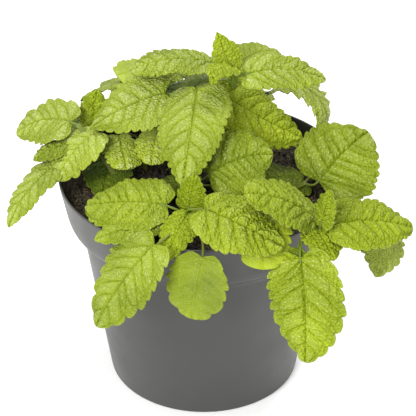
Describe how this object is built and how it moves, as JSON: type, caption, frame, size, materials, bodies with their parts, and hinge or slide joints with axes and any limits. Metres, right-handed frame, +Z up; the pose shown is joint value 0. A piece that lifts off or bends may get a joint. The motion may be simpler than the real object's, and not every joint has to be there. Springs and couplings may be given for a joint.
{
  "type": "potted herb",
  "caption": "Small herb plant with leafy shoots of broad scalloped leaves, growing in soil in a tapered round plant pot with a wide collar.",
  "frame": {"origin": "middle of the pot's underside, on its centre disc", "axes": "+Z up out of the pot, -Y towards the side with the long hanging leaf at its right, +X to the right of that side"},
  "size_m": [0.1865, 0.1963, 0.1769],
  "materials": {
    "pot_plastic": "satin injection-moulded plastic, dark warm grey",
    "soil": "crumbly potting soil with fine plant debris",
    "leaf": "soft matt leaf with sunken veins and fine hairs"
  },
  "bodies": {
    "root": {"pot": "pot_plastic", "soil": "soil", "shoot_top": "leaf", "shoot_back_left": "leaf", "shoot_back_right": "leaf", "shoot_back": "leaf", "shoot_left": "leaf", "shoot_mid_left": "leaf", "shoot_mid": "leaf", "shoot_front": "leaf", "shoot_right": "leaf", "shoot_right_back": "leaf"}
  },
  "joints": []
}
